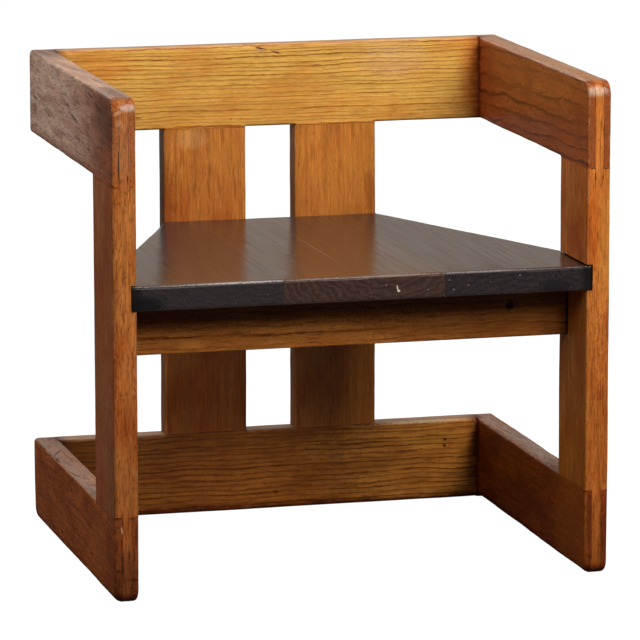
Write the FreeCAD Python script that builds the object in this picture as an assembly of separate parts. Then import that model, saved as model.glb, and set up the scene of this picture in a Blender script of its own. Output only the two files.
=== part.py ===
import FreeCAD, Part
import os

# Child's open-frame armchair, in millimetres. X runs across the chair, the sitter looks towards -Y, Z is up.
# The origin is the middle of the chair's footprint, on the floor.
overall_width = 500.0
overall_depth = 397.0
overall_height = 494.0

# Frame boards, all planed to one thickness
board_thickness = 24.0
arm_height = 86.0
runner_height = 86.0
upper_rail_height = 86.0
lower_rail_height = 86.0
post_width = 90.0
slat_width = 88.0
slat_gap = 52.0

# Corners of the side outline, and the easing that is sanded on every edge of the glued frame
front_corner_radius = 14.0
back_top_radius = 8.0
back_foot_radius = 14.0
arris_radius = 2.5

# Open bridle joints between the posts and the arms and runners
tenon_thickness = 9.0

# Seat, glued up from three staves that run front to back
seat_height = 312.0
seat_thickness = 25.0
middle_stave_width = 162.0
seat_shoulder_depth = 92.0
seat_arris_radius = 2.0

# Housings across the posts' inner faces, which hold the seat's front corners
housing_depth = 6.0
housing_end_gap = 0.5
housing_top_gap = 1.0

# Apron between the posts, and the cleat that carries the seat's back edge
apron_height = 54.0
apron_setback = 60.0
cleat_thickness = 22.0
cleat_height = 30.0
small_arris_radius = 1.5

# Beech dowels. A hole is deeper than its dowel at both ends, for glue
dowel_radius = 4.0
dowel_chamfer = 1.0
dowel_end_room = 1.0
dowel_end_bite = 20.0
dowel_face_bite_share = 0.62
rail_dowel_height_shares = (0.27, 0.73)
apron_dowel_height_shares = (0.27, 0.73)
slat_dowel_width_shares = (-0.27, 0.27)
seat_dowel_depth_shares = (0.16, 0.48, 0.78)

# Countersunk wood screws
screw_radius = 2.0
screw_head_radius = 4.0
screw_head_height = 2.4
screw_point_length = 4.0
screw_slot_width = 1.0
screw_slot_depth = 1.2
counterbore_radius = 5.0
counterbore_depth = 20.0
seat_screw_bite_share = 0.64
slat_screw_bite_share = 0.7
slat_screw_width_shares = (-0.2, 0.2)

# Length by which a cutting block runs past the surface that it opens
overrun = 5.0

# Sine of the smallest angle between two faces whose shared edge is rounded
smallest_fold_sine = 0.1

# Planes that the pieces share
half_width = overall_width / 2
inner_x = half_width - board_thickness
front = -overall_depth / 2
back = overall_depth / 2
back_frame_front = back - board_thickness
back_frame_middle = back - board_thickness / 2
post_back = front + post_width
arm_bottom = overall_height - arm_height
upper_rail_bottom = overall_height - upper_rail_height
slat_middle_x = (slat_gap + slat_width) / 2
slat_outer_x = slat_gap / 2 + slat_width
seat_bottom = seat_height - seat_thickness
seat_half_width = inner_x + housing_depth - housing_end_gap
stave_seam_x = middle_stave_width / 2
apron_bottom = seat_bottom - apron_height
apron_front = front + apron_setback
apron_middle = apron_front + board_thickness / 2
cleat_front = back_frame_front - cleat_thickness
cleat_bottom = seat_bottom - cleat_height
cleat_middle = (cleat_front + back_frame_front) / 2

along_x = FreeCAD.Vector(1, 0, 0)
along_y = FreeCAD.Vector(0, 1, 0)
along_z = FreeCAD.Vector(0, 0, 1)
sides = {"left": -1, "right": 1}


def block(x_range, y_range, z_range):
    """A box between two planes along each axis, given in either order."""
    low = [min(pair) for pair in (x_range, y_range, z_range)]
    size = [abs(pair[1] - pair[0]) for pair in (x_range, y_range, z_range)]
    return Part.makeBox(*size, FreeCAD.Vector(*low))


def fused(shapes):
    """One shape from several that touch or cross, with no seams left between level faces."""
    return shapes[0].multiFuse(shapes[1:]).removeSplitter()


def sharp_convex_edges(solid):
    """The edges that stand proud, apart from those where one face runs smoothly into the next."""
    found = []
    step = arris_radius / 10
    for edge in solid.Edges:
        faces = solid.ancestorsOfType(edge, Part.Face)
        if len(faces) != 2:
            continue
        middle = edge.valueAt((edge.FirstParameter + edge.LastParameter) / 2)
        normals = [face.normalAt(*face.Surface.parameter(middle)) for face in faces]
        smooth = normals[0].cross(normals[1]).Length < smallest_fold_sine
        beside = middle + (normals[0] - normals[1]) * step
        if not smooth and not solid.isInside(beside, step / 10, False):
            found.append(edge)
    return found


def eased(solid, radius):
    """The solid with every proud edge rounded to the radius."""
    return solid.makeFillet(radius, sharp_convex_edges(solid))


def side_outline():
    """The chair's outline from the side, with its four rounded corners, drawn on the left face."""
    corners = [
        (front, 0, front_corner_radius, 1, 1),
        (back, 0, back_foot_radius, -1, 1),
        (back, overall_height, back_top_radius, -1, -1),
        (front, overall_height, front_corner_radius, 1, -1),
    ]
    diagonal_share = 1 - 0.5 ** 0.5
    arcs = []
    for index, (y, z, radius, inward_y, inward_z) in enumerate(corners):
        on_level_edge = FreeCAD.Vector(-half_width, y + inward_y * radius, z)
        on_upright_edge = FreeCAD.Vector(-half_width, y, z + inward_z * radius)
        bend = radius * diagonal_share
        middle = FreeCAD.Vector(-half_width, y + inward_y * bend, z + inward_z * bend)
        ends = (on_upright_edge, on_level_edge) if index % 2 == 0 else (on_level_edge, on_upright_edge)
        arcs.append((ends[0], middle, ends[1]))
    edges = []
    for index, (start, middle, end) in enumerate(arcs):
        edges.append(Part.Arc(start, middle, end).toShape())
        edges.append(Part.LineSegment(end, arcs[(index + 1) % len(arcs)][0]).toShape())
    return Part.Face(Part.Wire(edges))


def board_spaces():
    """The space that each frame board fills, tenons apart, as a box by name."""
    whole_depth = (front, back)
    back_frame = (back_frame_front, back)
    spaces = {
        "upper_back_rail": block((-inner_x, inner_x), back_frame, (upper_rail_bottom, overall_height)),
        "lower_back_rail": block((-inner_x, inner_x), back_frame, (0, lower_rail_height)),
    }
    for side, sign in sides.items():
        across = (sign * inner_x, sign * half_width)
        slat_across = (sign * slat_gap / 2, sign * slat_outer_x)
        spaces[side + "_arm"] = block(across, whole_depth, (arm_bottom, overall_height))
        spaces[side + "_runner"] = block(across, whole_depth, (0, runner_height))
        spaces[side + "_front_post"] = block(across, (front, post_back), (runner_height, arm_bottom))
        spaces[side + "_back_slat"] = block(slat_across, back_frame, (lower_rail_height, upper_rail_bottom))
    return spaces


def glued_frame(spaces):
    """The whole frame as it leaves the sander: outline rounded, and every edge eased across the joints."""
    outline = side_outline().extrude(along_x * overall_width)
    blank = outline.common(fused(list(spaces.values()))).removeSplitter()
    return eased(blank.Solids[0], arris_radius)


def tenon_space(sign):
    """The middle third of a side frame's front end, from floor to top, which belongs to the post."""
    middle_x = sign * (half_width - board_thickness / 2)
    across = (middle_x - tenon_thickness / 2, middle_x + tenon_thickness / 2)
    return block(across, (front, post_back), (0, overall_height))


def seat_housing(sign):
    """The groove across a post's inner face for the seat's edge, open at the post's front and back."""
    across = (sign * (inner_x - overrun), sign * (inner_x + housing_depth))
    along = (front - overrun, post_back + overrun)
    return block(across, along, (seat_bottom, seat_height + housing_top_gap))


def seat_panel():
    """The seat before it is parted into staves: straight beside the posts, then narrowing to the slats."""
    outline = [
        (-seat_half_width, front),
        (seat_half_width, front),
        (seat_half_width, front + seat_shoulder_depth),
        (slat_outer_x, back_frame_front),
        (-slat_outer_x, back_frame_front),
        (-seat_half_width, front + seat_shoulder_depth),
    ]
    points = [FreeCAD.Vector(x, y, seat_bottom) for x, y in outline]
    face = Part.Face(Part.makePolygon(points + points[:1]))
    return eased(face.extrude(along_z * seat_thickness), seat_arris_radius)


def lower_edges_eased(bar, bottom, middle_y):
    """A straight bar with its two long lower edges rounded."""
    edges = []
    for edge in bar.Edges:
        centre = edge.BoundBox.Center
        lies_low = abs(centre.z - bottom) < small_arris_radius
        runs_across = edge.BoundBox.XLength > bar.BoundBox.XLength / 2
        if lies_low and runs_across and abs(centre.y - middle_y) > small_arris_radius:
            edges.append(edge)
    return bar.makeFillet(small_arris_radius, edges)


def dowel_places():
    """Where each kind of dowel sits: its start, its direction and its length, by kind."""
    face_bite = board_thickness * dowel_face_bite_share
    places = {"corner_dowels": [], "slat_dowels": [], "apron_dowels": [], "seat_edge_dowels": []}
    for sign in sides.values():
        start_x = sign * (inner_x - dowel_end_bite)
        outward = along_x * sign
        for share in rail_dowel_height_shares:
            for height in (upper_rail_bottom + share * upper_rail_height, share * lower_rail_height):
                start = FreeCAD.Vector(start_x, back_frame_middle, height)
                places["corner_dowels"].append((start, outward, dowel_end_bite + face_bite))
        for share in apron_dowel_height_shares:
            start = FreeCAD.Vector(start_x, apron_middle, apron_bottom + share * apron_height)
            places["apron_dowels"].append((start, outward, dowel_end_bite + face_bite))
        for share in slat_dowel_width_shares:
            for height in (lower_rail_height, upper_rail_bottom):
                x = sign * slat_middle_x + share * slat_width
                start = FreeCAD.Vector(x, back_frame_middle, height - dowel_end_bite)
                places["slat_dowels"].append((start, along_z, 2 * dowel_end_bite))
        for share in seat_dowel_depth_shares:
            y = front + share * (back_frame_front - front)
            start = FreeCAD.Vector(sign * stave_seam_x - dowel_end_bite, y, seat_bottom + seat_thickness / 2)
            places["seat_edge_dowels"].append((start, along_x, 2 * dowel_end_bite))
    return places


def dowel(start, direction, length):
    """A round dowel with chamfered ends."""
    peg = Part.makeCylinder(dowel_radius, length, start, direction)
    rims = [edge for edge in peg.Edges if len(edge.Vertexes) == 1]
    return peg.makeChamfer(dowel_chamfer, rims)


def dowel_hole(start, direction, length):
    """The hole for a dowel, drilled a little deeper at both ends."""
    room = direction * dowel_end_room
    return Part.makeCylinder(dowel_radius, length + 2 * dowel_end_room, start - room, direction)


def screw_places():
    """Where each kind of screw sits: the centre of its head's face, its direction and its length, by kind."""
    seat_bite = seat_thickness * seat_screw_bite_share
    cleat_length = cleat_thickness + board_thickness * slat_screw_bite_share
    places = {"slat_screws": [], "cleat_screws": [], "apron_screws": []}
    for sign in sides.values():
        for share in slat_screw_width_shares:
            x = sign * slat_middle_x + share * slat_width
            head = FreeCAD.Vector(x, cleat_front, (cleat_bottom + seat_bottom) / 2)
            places["slat_screws"].append((head, along_y, cleat_length))
    for sign in (-1, 0, 1):
        x = sign * (slat_outer_x + stave_seam_x) / 2
        head = FreeCAD.Vector(x, cleat_middle, cleat_bottom)
        places["cleat_screws"].append((head, along_z, cleat_height + seat_bite))
        x = sign * (inner_x + stave_seam_x) / 2
        head = FreeCAD.Vector(x, apron_middle, apron_bottom + counterbore_depth)
        places["apron_screws"].append((head, along_z, apron_height - counterbore_depth + seat_bite))
    return places


def screw_space(head, direction, length):
    """A screw's outline with no slot, which is also the shape of its hole."""
    shank = length - screw_head_height - screw_point_length
    under_head = head + direction * screw_head_height
    point = under_head + direction * shank
    return fused([
        Part.makeCone(screw_head_radius, screw_radius, screw_head_height, head, direction),
        Part.makeCylinder(screw_radius, shank, under_head, direction),
        Part.makeCone(screw_radius, 0, screw_point_length, point, direction),
    ])


def screw(head, direction, length):
    """A countersunk wood screw with a straight slot across its head."""
    half_slot = screw_slot_width / 2
    across = (head.x - screw_head_radius - overrun, head.x + screw_head_radius + overrun)
    if direction.z == 0:
        inward = (head.y - overrun, head.y + screw_slot_depth)
        slot = block(across, inward, (head.z - half_slot, head.z + half_slot))
    else:
        inward = (head.z - overrun, head.z + screw_slot_depth)
        slot = block(across, (head.y - half_slot, head.y + half_slot), inward)
    return screw_space(head, direction, length).cut(slot)


def counterbores():
    """The wide holes in the apron's lower edge, up to the heads of its screws."""
    holes = []
    for head, direction, _ in screw_places()["apron_screws"]:
        mouth = head - direction * (counterbore_depth + overrun)
        holes.append(Part.makeCylinder(counterbore_radius, counterbore_depth + overrun, mouth, direction))
    return holes


def all_parts():
    """Every node's shape by name."""
    spaces = board_spaces()
    frame = glued_frame(spaces)
    tenons = {side: tenon_space(sign) for side, sign in sides.items()}
    parts = {}
    for name, space in spaces.items():
        side = name.split("_")[0]
        if name.endswith(("_arm", "_runner")):
            parts[name] = frame.common(space.cut(tenons[side]))
        elif name.endswith("_front_post"):
            parts[name] = frame.common(fused([space, tenons[side]])).cut(seat_housing(sides[side]))
        else:
            parts[name] = frame.common(space)

    apron = block((-inner_x, inner_x), (apron_front, apron_front + board_thickness), (apron_bottom, seat_bottom))
    cleat = block((-slat_outer_x, slat_outer_x), (cleat_front, back_frame_front), (cleat_bottom, seat_bottom))
    parts["front_apron"] = lower_edges_eased(apron, apron_bottom, apron_middle)
    parts["rear_seat_cleat"] = lower_edges_eased(cleat, cleat_bottom, cleat_middle)

    panel = seat_panel()
    reach = half_width + overrun
    staves = {
        "seat_board_left": (-reach, -stave_seam_x),
        "seat_board_middle": (-stave_seam_x, stave_seam_x),
        "seat_board_right": (stave_seam_x, reach),
    }
    for name, across in staves.items():
        stave = block(across, (front - overrun, back + overrun), (seat_bottom - overrun, seat_height + overrun))
        parts[name] = panel.common(stave)

    holes = counterbores()
    fasteners = {}
    for kind, places in dowel_places().items():
        fasteners[kind] = [dowel(*place) for place in places]
        holes += [dowel_hole(*place) for place in places]
    for kind, places in screw_places().items():
        fasteners[kind] = [screw(*place) for place in places]
        holes += [screw_space(*place) for place in places]

    for name in parts:
        reached = [hole for hole in holes if hole.BoundBox.intersect(parts[name].BoundBox)]
        if reached:
            parts[name] = parts[name].cut(reached)
    for kind, pieces in fasteners.items():
        parts[kind] = Part.makeCompound(pieces)
    return parts


os.makedirs("parts", exist_ok=True)
for name, shape in all_parts().items():
    shape.exportStep("parts/" + name + ".step")
    print(name, "solids", len(shape.Solids), "volume", round(shape.Volume), "valid", shape.isValid())
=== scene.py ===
import math

import bpy
import numpy as np
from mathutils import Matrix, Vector


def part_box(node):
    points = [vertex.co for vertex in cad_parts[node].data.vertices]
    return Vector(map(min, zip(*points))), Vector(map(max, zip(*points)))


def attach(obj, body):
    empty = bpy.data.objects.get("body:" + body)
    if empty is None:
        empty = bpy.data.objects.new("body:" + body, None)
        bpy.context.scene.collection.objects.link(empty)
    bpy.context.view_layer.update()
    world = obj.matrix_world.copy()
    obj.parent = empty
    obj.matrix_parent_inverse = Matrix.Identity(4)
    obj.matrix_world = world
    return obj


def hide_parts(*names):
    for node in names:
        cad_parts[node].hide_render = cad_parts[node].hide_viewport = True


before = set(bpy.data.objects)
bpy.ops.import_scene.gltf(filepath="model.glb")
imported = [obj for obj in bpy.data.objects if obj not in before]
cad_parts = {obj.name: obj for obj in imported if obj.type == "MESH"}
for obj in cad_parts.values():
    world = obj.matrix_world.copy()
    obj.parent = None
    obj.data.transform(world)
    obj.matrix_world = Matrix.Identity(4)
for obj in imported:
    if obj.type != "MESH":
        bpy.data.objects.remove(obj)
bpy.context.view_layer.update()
mm = 0.001


# Upper back rail
# One planed softwood board on edge between the arms, doweled and glued to them. It is oiled pine with its
# year rings cut across, so even dark lines run along a golden face. Its top back edge follows the round of
# the arms.
def linear(code):
    """An sRGB hex colour as linear red, green, blue, alpha: a channel c is ((c + 0.055) / 1.055) ** 2.4."""
    shares = [int(code[i:i + 2], 16) / 255 for i in (1, 3, 5)]
    return [c / 12.92 if c <= 0.04045 else ((c + 0.055) / 1.055) ** 2.4 for c in shares] + [1.0]


def add_node(material, kind, inputs=None, stops=(), **settings):
    """Adds a node with its settings and a ramp's stops.

    A (node, socket) pair among its inputs is joined to it, and any other value is set on the socket."""
    tree = material.node_tree
    node = tree.nodes.new("ShaderNode" + kind)
    for name, value in settings.items():
        setattr(node, name, value)
    for socket, value in (inputs or {}).items():
        if isinstance(value, tuple) and isinstance(value[0], bpy.types.Node):
            tree.links.new(value[0].outputs[value[1]], node.inputs[socket])
        else:
            node.inputs[socket].default_value = value
    for index, (share, colour) in enumerate(stops):
        ramp = node.color_ramp.elements
        element = ramp[index] if index < len(ramp) else ramp.new(share)
        element.position = share
        element.color = linear(colour)
    return node


def ripple(points, wavelength, seed):
    """A wandering value of about -1 to 1: sine waves about that long in fixed random directions, added up."""
    draw = np.random.default_rng(seed)
    waves = 6
    directions = draw.normal(size=(waves, 3))
    directions /= np.linalg.norm(directions, axis=1)[:, None]
    lengths = wavelength * draw.uniform(0.7, 1.4, waves)
    phases = draw.uniform(0, math.tau, waves)
    return np.sin(points @ (directions / lengths[:, None]).T * math.tau + phases).sum(1) / waves ** 0.5


def planes_along(low, high, marks):
    """Where the lattice's planes stand along one axis: close beside the ends and marks, then even steps."""
    widest_step, least_gap, rounding = 4 * mm, 0.3 * mm, 1e-9
    close_in = np.array([0.0, 0.6, 1.2, 1.8, 2.5, 4.0, 6.5, 10.0, 14.0]) * mm
    kept = []
    for distance in close_in:
        for mark in (low, high, *marks):
            for place in (mark - distance, mark + distance):
                inside = low - rounding < place < high + rounding
                if inside and all(abs(place - other) > least_gap for other in kept):
                    kept.append(place)
    kept = np.sort(kept)
    parts = np.ceil(np.diff(kept) / widest_step).astype(int)
    steps = [np.linspace(a, b, n, endpoint=False) for a, b, n in zip(kept, kept[1:], parts)]
    return np.append(np.concatenate(steps), kept[-1])


def lattice_skin(low, high, marks, removed):
    """The outside of a lattice of cells that fills a box, less the cells in removed boxes: points and quads.

    A cell wall is skin where the filled state changes across it. Its corners turn so that it faces out."""
    axes = [planes_along(low[a], high[a], [mark[a] for mark in marks]) for a in range(3)]
    grid = np.stack(np.meshgrid(*axes, indexing="ij"), -1)
    centres = np.stack(np.meshgrid(*[(a[1:] + a[:-1]) / 2 for a in axes], indexing="ij"), -1)
    filled = np.ones(centres.shape[:3], np.int8)
    for cut_low, cut_high in removed:
        filled[np.all((centres > cut_low) & (centres < cut_high), axis=-1)] = 0
    numbers = np.arange(grid[..., 0].size).reshape(grid.shape[:3])
    unit = np.eye(3, dtype=int)
    quads = []
    for axis in range(3):
        second, third = unit[(axis + 1) % 3], unit[(axis + 2) % 3]
        change = np.diff(np.pad(filled, [(int(a == axis),) * 2 for a in range(3)]), axis=axis)
        for way in (-1, 1):
            corner = np.argwhere(change == way)
            ring = np.stack([corner, corner + second, corner + second + third, corner + third], 1)
            quads.append(numbers[tuple(np.moveaxis(ring[:, ::-way], 2, 0))])
    used, order = np.unique(np.concatenate(quads), return_inverse=True)
    return grid.reshape(-1, 3)[used], order.reshape(-1, 4)


def rounded(first, second, radius):
    """Insets from an edge's faces, moved so that squares about the arc's centre turn to quarter circles."""
    a = np.maximum(radius - first, 0)
    b = np.maximum(radius - second, 0)
    reach = np.maximum(a, b)
    least = np.minimum(a, b)
    turn = np.divide(least, reach, out=np.zeros_like(reach), where=reach > 0) * math.pi / 4
    turn = np.where(a >= b, turn, math.pi / 2 - turn)
    held_a = np.where(reach > 0, reach * np.cos(turn), 0)
    held_b = np.where(reach > 0, reach * np.sin(turn), 0)
    return first + np.where(a > 0, a - held_a, 0), second + np.where(b > 0, b - held_b, 0)


def distance_to(points, boxes):
    """Distance from each point to the nearest of some boxes: the length of what sticks out past it."""
    gaps = [np.linalg.norm(np.maximum(np.maximum(a - points, points - b), 0), axis=1) for a, b in boxes]
    return np.min(gaps, axis=0)


def ease_board(points, low, high, thick, corners, special, mates, foot_wear, seed):
    """Rounds a board's edges. thick is the axis across its faces, and the other two axes draw its outline.

    Each edge of a face is drawn on to an arc of its radius, and then each corner of the outline on to its
    own. The radius wanders a little where hands have worn it, grows towards the floor by each face's share of
    foot_wear, and is nearly nothing where another board is glued on. An edge in special, as (face, axis,
    side), has its own."""
    eased, glued, lead_in, slack, foot_reach = 3.5 * mm, 0.08 * mm, 2.5 * mm, 0.1 * mm, 90 * mm
    wander = ((0.14, 70 * mm), (0.04, 17 * mm))
    sides = [axis for axis in range(3) if axis != thick]
    limits = (low, high)
    near_side = [(points[:, a] - low[a] > high[a] - points[:, a]).astype(int) for a in sides]
    inset = [np.minimum(points[:, a] - low[a], high[a] - points[:, a]) for a in sides]
    bend = np.array(corners)[near_side[0], near_side[1]]
    depth = points[:, thick].copy()
    near_floor = np.clip(1 - points[:, 2] / foot_reach, 0, 1)
    handled = 1 + sum(
        share * ripple(points, length, seed + index) for index, (share, length) in enumerate(wander))
    for face in (0, 1):
        worn = handled + foot_wear[face] * near_floor ** 2
        way = 1 - 2 * face
        from_face = (depth - limits[face][thick]) * way
        radius = []
        for index, axis in enumerate(sides):
            along = sides[1 - index]
            edge = points.copy()
            edge[:, thick] = limits[face][thick]
            edge[:, axis] = np.where(near_side[index] == 0, low[axis], high[axis])
            held = np.zeros(len(points))
            for mate_low, mate_high in mates:
                level = np.ones(len(points), bool)
                for a in (thick, axis):
                    level &= (edge[:, a] > mate_low[a] - slack) & (edge[:, a] < mate_high[a] + slack)
                inside = np.minimum(edge[:, along] - mate_low[along], mate_high[along] - edge[:, along])
                held = np.maximum(held, level * np.clip(inside / lead_in, 0, 1))
            given = np.array([special.get((face, axis, side), 0) for side in (0, 1)])[near_side[index]]
            radius.append(np.where(given > 0, given, eased * worn * (1 - held) + glued * held))
        in_bend = (inset[0] < bend) & (inset[1] < bend)
        first_nearer = inset[0] <= inset[1]
        least = np.minimum(inset[0], inset[1])
        bend_radius = np.where(first_nearer, radius[0], radius[1])
        bend_face, bend_least = rounded(from_face, least, np.minimum(bend_radius, bend))
        ratio = np.where(in_bend, (bend - bend_least) / np.where(in_bend, bend - least, 1), 1)
        one_face, first = rounded(from_face, inset[0], radius[0])
        both_face, second = rounded(one_face, inset[1], radius[1])
        from_face = np.where(in_bend, bend_face, both_face)
        inset = [
            np.where(in_bend, bend - (bend - inset[0]) * ratio, first),
            np.where(in_bend, bend - (bend - inset[1]) * ratio, second),
        ]
        depth = limits[face][thick] + from_face * way
    inset = rounded(inset[0], inset[1], bend)
    moved = points.copy()
    moved[:, thick] = depth
    for index, axis in enumerate(sides):
        moved[:, axis] = np.where(near_side[index] == 0, low[axis] + inset[index], high[axis] - inset[index])
    return moved


def outward(points, quads):
    """Each point's unit normal: the cross products of its quads' diagonals, added up."""
    corners = points[quads]
    facing = np.cross(corners[:, 2] - corners[:, 0], corners[:, 3] - corners[:, 1])
    total = np.zeros_like(points)
    for corner in range(4):
        np.add.at(total, quads[:, corner], facing)
    return total / np.maximum(np.linalg.norm(total, axis=1), 1e-12)[:, None]


def box_of(node):
    """A CAD node's two corners as arrays."""
    return tuple(np.array(corner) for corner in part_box(node))


def make_board(node, material, thick, grain, corners=((0, 0), (0, 0)), special=None, mates=(), removed=(),
               soiled=(), bleached=None, foot_wear=(0.5, 0.5), seed=0, bent=None, surface="planed"):
    """A board in place of a CAD node, as large as that node's box, with faces that wave a little inwards.

    Values from 0 to 1 go with each point for the finish. joint is 1 at a glued board and 0 from 12 mm away,
    the corner mask is 1 in an inside corner, where dirt gathers and a shade is painted, and 0 from 16 mm
    away, worn is 1 on a bare edge and 0 from 6 mm away, end is 1 on end grain, and the share of pale bleach
    with a painted sheen is given by a function of the points and their normals."""
    joint_reach, dirt_and_shade_reach, worn_reach, worn_clear, crease = 12 * mm, 16 * mm, 6 * mm, 3 * mm, 38
    waves = ((0.10 * mm, 110 * mm), (0.03 * mm, 23 * mm))
    low, high = box_of(node)
    marks = [corner for box in (*mates, *removed) for corner in box]
    flat, quads = lattice_skin(low, high, marks, removed)
    points = ease_board(flat, low, high, thick, corners, special or {}, mates, foot_wear, seed)
    facing = outward(points, quads)
    for index, (height, length) in enumerate(waves, 10):
        hollow = height * (1 + ripple(flat, length, seed + index))
        points -= facing * np.clip(hollow, 0, 2 * height)[:, None]
    points = np.clip(points, low, high)
    from_joint = distance_to(flat, mates)
    from_edge = np.sort(np.minimum(flat - low, high - flat), axis=1)[:, 1]
    finish = {
        "joint": 1 - from_joint / joint_reach,
        "soiled": 1 - distance_to(flat, soiled) / dirt_and_shade_reach if soiled else np.zeros(len(flat)),
        "worn": (1 - from_edge / worn_reach) * np.clip(from_joint / worn_clear, 0, 1),
        "end": np.abs(facing[:, grain]) * 1.5 - 0.5,
        "bleached": bleached(points, facing) if bleached else np.zeros(len(flat)),
    }
    if bent:
        points = bent(points)
    name = surface + "_" + node
    mesh = bpy.data.meshes.new(name)
    mesh.from_pydata(points, [], quads)
    for title, values in finish.items():
        kept = np.clip(values, 0, 1).astype(np.float32)
        mesh.attributes.new(title, "FLOAT", "POINT").data.foreach_set("value", kept)
    mesh.shade_smooth()
    mesh.set_sharp_from_angle(angle=math.radians(crease))
    mesh.materials.append(material)
    piece = bpy.data.objects.new(name, mesh)
    bpy.context.scene.collection.objects.link(piece)
    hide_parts(node)
    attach(piece, "root")


def bare_material(name):
    """A new material with no nodes yet."""
    material = bpy.data.materials.new(name)
    material.use_nodes = True
    material.node_tree.nodes.clear()
    return material


def streaks(wood, vector, along, across, detail):
    """Noise whose features are that many millimetres long along the first axis and wide across it."""
    scale = (1 / (along * mm), 1 / (across * mm), 1 / (across * mm))
    drawn = add_node(wood, "Mapping", {"Vector": vector, "Scale": scale})
    return add_node(wood, "TexNoise", {"Vector": (drawn, "Vector"), "Scale": 1.0, "Detail": detail})


def flecks(wood, vector, along, across, detail, low, high, most=1.0, least=0.0):
    """How strongly a mark shows: least where such a noise is under low, and most where it is over high."""
    noise = streaks(wood, vector, along, across, detail)
    return add_node(wood, "MapRange", {
        "Value": (noise, "Fac"), "From Min": low, "From Max": high, "To Min": least, "To Max": most})


def oval_marks(wood, vector, fray, marks):
    """A layer of colour for each oval mark: full within half its size, gone at its rim, which a noise frays.

    A mark is its middle, half sizes in millimetres, colour, strength and, if it has one, turn in degrees."""
    full_within, fraying = 0.5, 1.2
    layers = []
    for middle, halves, ink, strength, *turned in marks:
        turn = turned[0] if turned else (0, 0, 0)
        centred = add_node(wood, "Mapping", {
            "Vector": vector, "Location": middle, "Rotation": [math.radians(angle) for angle in turn],
            "Scale": [half * mm for half in halves]}, vector_type="TEXTURE")
        reach = add_node(wood, "VectorMath", {0: (centred, "Vector")}, operation="LENGTH")
        frayed = add_node(wood, "Math", {0: (fray, "Fac"), 1: fraying, 2: (reach, "Value")},
                          operation="MULTIPLY_ADD")
        spot = add_node(wood, "MapRange", {
            "Value": (frayed, "Value"), "From Min": full_within + fraying / 2, "From Max": 1 + fraying / 2,
            "To Min": strength, "To Max": 0.0})
        layers.append(((spot, "Result"), ink))
    return layers


def laid_over(wood, colour, layers):
    """The colour with each layer mixed over it in turn. A layer is its share and its colour."""
    for share, added in layers:
        mixed = add_node(wood, "MixRGB", {"Fac": share, "Color1": colour, "Color2": linear(added)})
        colour = (mixed, "Color")
    return colour


def wood_surface(wood, colour, roughness, height, ior, **sockets):
    """Ends a wood: the height becomes a shallow relief, and the shader takes it with colour and roughness."""
    bump = add_node(wood, "Bump", {"Height": height, "Strength": 0.5, "Distance": 0.15 * mm})
    shader = add_node(wood, "BsdfPrincipled", {
        "Base Color": colour, "Roughness": roughness, "Normal": (bump, "Normal"), "IOR": ior, **sockets})
    add_node(wood, "OutputMaterial", {"Surface": (shader, "BSDF")})
    return wood


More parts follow.
